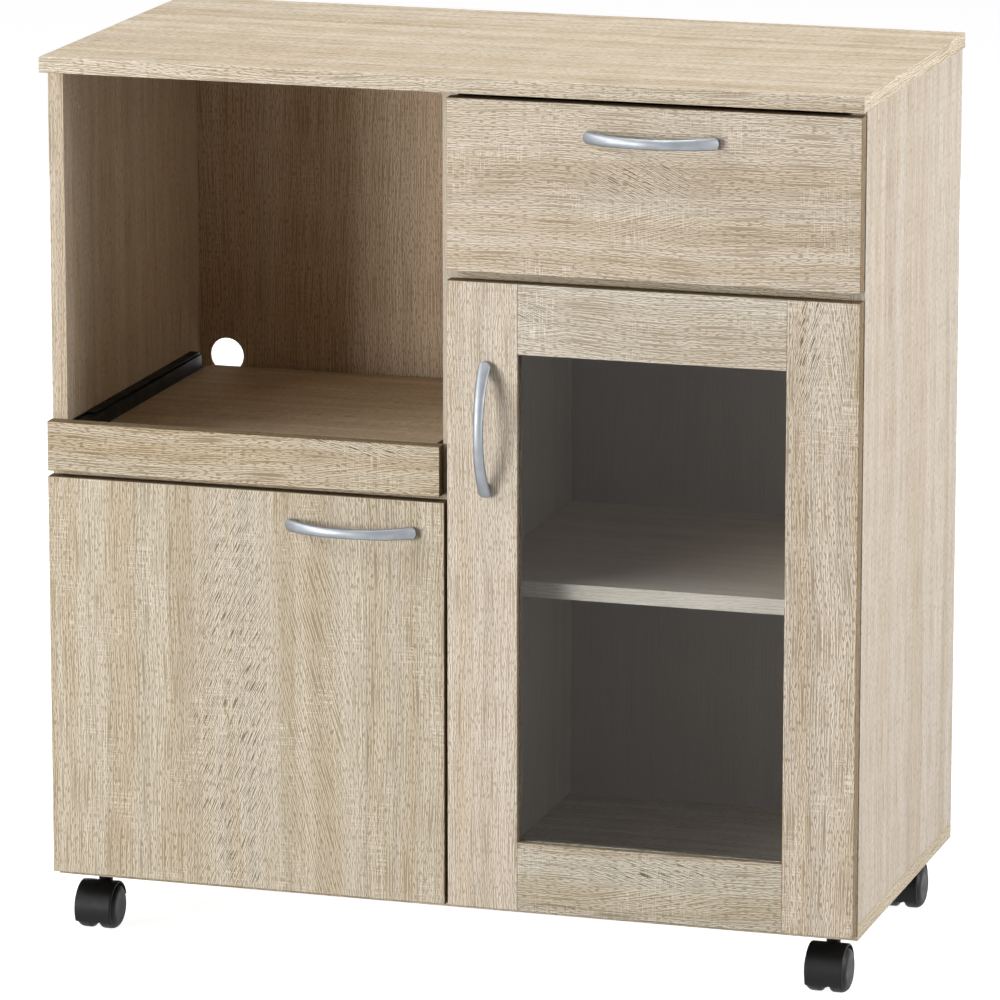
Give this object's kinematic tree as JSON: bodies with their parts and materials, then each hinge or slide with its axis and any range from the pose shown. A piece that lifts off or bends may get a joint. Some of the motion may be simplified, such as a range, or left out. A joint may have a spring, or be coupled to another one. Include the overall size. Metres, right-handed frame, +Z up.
{
  "type": "kitchen cart",
  "caption": "Rolling kitchen cart with an open microwave bay over a pull-out shelf, a drawer, a plain door and a glazed door, on twin-wheel swivel casters.",
  "frame": {"origin": "on the floor under the middle of the whole box, handles included", "axes": "+X to the viewer's right seen from the front, +Y towards the back, +Z up; the fronts face -Y"},
  "size_m": [0.8, 0.428, 0.86],
  "materials": {
    "oak_foil_board": "pale sonoma oak look foil on particle board, semi-gloss",
    "back_hardboard": "thin hardboard with printed oak look paper, satin",
    "drawer_box_board": "plain pale paper on particle board, matt",
    "beech_dowel": "plain fluted beech",
    "smoked_glass": "dark grey tinted clear pane, polished",
    "satin_handle_metal": "satin nickel look, fine brushed",
    "black_rail_paint": "black powder coat on folded steel",
    "bright_steel": "bright zinc plate",
    "zinc_cam": "grey die cast zinc",
    "black_caster_plastic": "black moulded plastic, slightly glossy",
    "grey_roller_nylon": "pale grey nylon"
  },
  "bodies": {
    "carcass": {"top_panel": "oak_foil_board", "left_side_panel": "oak_foil_board", "right_side_panel": "oak_foil_board", "centre_partition": "oak_foil_board", "bottom_panel": "oak_foil_board", "bay_floor": "oak_foil_board", "drawer_divider": "oak_foil_board", "back_panel_left": "back_hardboard", "back_panel_right": "back_hardboard", "cabinet_shelf": "oak_foil_board", "shelf_pins": "bright_steel", "carcass_dowels": "beech_dowel", "cam_bolts": "bright_steel", "cam_locks": "zinc_cam", "pullout_cabinet_rails": "black_rail_paint", "drawer_cabinet_rails": "black_rail_paint", "runner_screws": "bright_steel", "hinge_arms": "bright_steel", "hinge_plates": "bright_steel", "hinge_screws": "bright_steel", "caster_sockets": "black_caster_plastic", "caster_stems": "bright_steel"},
    "drawer": {"drawer_front": "oak_foil_board", "drawer_left_side": "drawer_box_board", "drawer_right_side": "drawer_box_board", "drawer_back": "drawer_box_board", "drawer_bottom": "back_hardboard", "drawer_handle": "satin_handle_metal", "drawer_handle_screws": "bright_steel", "drawer_moving_rails": "black_rail_paint"},
    "drawer_front_rollers": {"drawer_front_rollers": "grey_roller_nylon"},
    "drawer_rear_rollers": {"drawer_rear_rollers": "grey_roller_nylon"},
    "pullout_shelf": {"pullout_board": "oak_foil_board", "pullout_front_strip": "oak_foil_board", "pullout_dowels": "beech_dowel", "pullout_moving_rails": "black_rail_paint"},
    "pullout_front_rollers": {"pullout_front_rollers": "grey_roller_nylon"},
    "pullout_rear_rollers": {"pullout_rear_rollers": "grey_roller_nylon"},
    "left_door_links": {"left_door_hinge_links": "bright_steel"},
    "left_door": {"left_door_panel": "oak_foil_board", "left_door_handle": "satin_handle_metal", "left_door_handle_screws": "bright_steel", "left_door_hinge_cups": "bright_steel"},
    "glass_door_links": {"glass_door_hinge_links": "bright_steel"},
    "glass_door": {"glass_door_hinge_stile": "oak_foil_board", "glass_door_handle_stile": "oak_foil_board", "glass_door_top_rail": "oak_foil_board", "glass_door_bottom_rail": "oak_foil_board", "glass_pane": "smoked_glass", "glass_door_handle": "satin_handle_metal", "glass_door_handle_screws": "bright_steel", "glass_door_hinge_cups": "bright_steel"},
    "caster_front_left": {"caster_hood_front_left": "black_caster_plastic"},
    "wheels_front_left": {"caster_wheels_front_left": "black_caster_plastic"},
    "caster_front_right": {"caster_hood_front_right": "black_caster_plastic"},
    "wheels_front_right": {"caster_wheels_front_right": "black_caster_plastic"},
    "caster_rear_left": {"caster_hood_rear_left": "black_caster_plastic"},
    "wheels_rear_left": {"caster_wheels_rear_left": "black_caster_plastic"},
    "caster_rear_right": {"caster_hood_rear_right": "black_caster_plastic"},
    "wheels_rear_right": {"caster_wheels_rear_right": "black_caster_plastic"}
  },
  "joints": [
    {"name": "drawer_slide", "type": "slide", "parent": "carcass", "child": "drawer", "axis": [0, -1, 0], "range_m": [0, 0.26]},
    {"name": "drawer_front_rollers_spin", "type": "hinge", "parent": "carcass", "child": "drawer_front_rollers", "pos_m": [0.19525, -0.154, 0.7105], "axis": [1, 0, 0], "range_deg": [0, 2129.1]},
    {"name": "drawer_rear_rollers_spin", "type": "hinge", "parent": "drawer", "child": "drawer_rear_rollers", "pos_m": [0.19525, 0.169, 0.7105], "axis": [1, 0, 0], "range_deg": [0, 2129.1]},
    {"name": "pullout_slide", "type": "slide", "parent": "carcass", "child": "pullout_shelf", "axis": [0, -1, 0], "range_m": [0, 0.26]},
    {"name": "pullout_front_rollers_spin", "type": "hinge", "parent": "carcass", "child": "pullout_front_rollers", "pos_m": [-0.19525, -0.154, 0.4955], "axis": [1, 0, 0], "range_deg": [0, 2129.1]},
    {"name": "pullout_rear_rollers_spin", "type": "hinge", "parent": "pullout_shelf", "child": "pullout_rear_rollers", "pos_m": [-0.19525, 0.169, 0.4955], "axis": [1, 0, 0], "range_deg": [0, 2129.1]},
    {"name": "left_door_link_turn", "type": "hinge", "parent": "carcass", "child": "left_door_links", "pos_m": [-0.3642, -0.1747, 0.1545], "axis": [0, 0, -1], "range_deg": [-57.2, 0]},
    {"name": "left_door_swing", "type": "hinge", "parent": "left_door_links", "child": "left_door", "pos_m": [-0.3837, -0.1707, 0.1545], "axis": [0, 0, -1], "range_deg": [0, 152]},
    {"name": "glass_door_link_turn", "type": "hinge", "parent": "carcass", "child": "glass_door_links", "pos_m": [0.3642, -0.1747, 0.1545], "axis": [0, 0, 1], "range_deg": [-57.2, 0]},
    {"name": "glass_door_swing", "type": "hinge", "parent": "glass_door_links", "child": "glass_door", "pos_m": [0.3837, -0.1707, 0.1545], "axis": [0, 0, 1], "range_deg": [0, 152]},
    {"name": "caster_front_left_swivel", "type": "hinge", "parent": "carcass", "child": "caster_front_left", "pos_m": [-0.365, -0.127, 0.058], "axis": [0, 0, 1], "continuous": true},
    {"name": "wheels_front_left_roll", "type": "hinge", "parent": "caster_front_left", "child": "wheels_front_left", "pos_m": [-0.365, -0.143, 0.022], "axis": [1, 0, 0], "continuous": true},
    {"name": "caster_front_right_swivel", "type": "hinge", "parent": "carcass", "child": "caster_front_right", "pos_m": [0.365, -0.127, 0.058], "axis": [0, 0, 1], "continuous": true},
    {"name": "wheels_front_right_roll", "type": "hinge", "parent": "caster_front_right", "child": "wheels_front_right", "pos_m": [0.365, -0.143, 0.022], "axis": [1, 0, 0], "continuous": true},
    {"name": "caster_rear_left_swivel", "type": "hinge", "parent": "carcass", "child": "caster_rear_left", "pos_m": [-0.365, 0.171, 0.058], "axis": [0, 0, 1], "continuous": true},
    {"name": "wheels_rear_left_roll", "type": "hinge", "parent": "caster_rear_left", "child": "wheels_rear_left", "pos_m": [-0.365, 0.155, 0.022], "axis": [1, 0, 0], "continuous": true},
    {"name": "caster_rear_right_swivel", "type": "hinge", "parent": "carcass", "child": "caster_rear_right", "pos_m": [0.365, 0.171, 0.058], "axis": [0, 0, 1], "continuous": true},
    {"name": "wheels_rear_right_roll", "type": "hinge", "parent": "caster_rear_right", "child": "wheels_rear_right", "pos_m": [0.365, 0.155, 0.022], "axis": [1, 0, 0], "continuous": true}
  ],
  "couplings": [
    {"joint": "drawer_front_rollers_spin", "follows": "drawer_slide", "rad_per_m": 142.86},
    {"joint": "drawer_rear_rollers_spin", "follows": "drawer_slide", "rad_per_m": 142.86},
    {"joint": "pullout_front_rollers_spin", "follows": "pullout_slide", "rad_per_m": 142.86},
    {"joint": "pullout_rear_rollers_spin", "follows": "pullout_slide", "rad_per_m": 142.86},
    {"joint": "left_door_link_turn", "follows": "left_door_swing", "ratio": -0.375},
    {"joint": "glass_door_link_turn", "follows": "glass_door_swing", "ratio": -0.375}
  ]
}
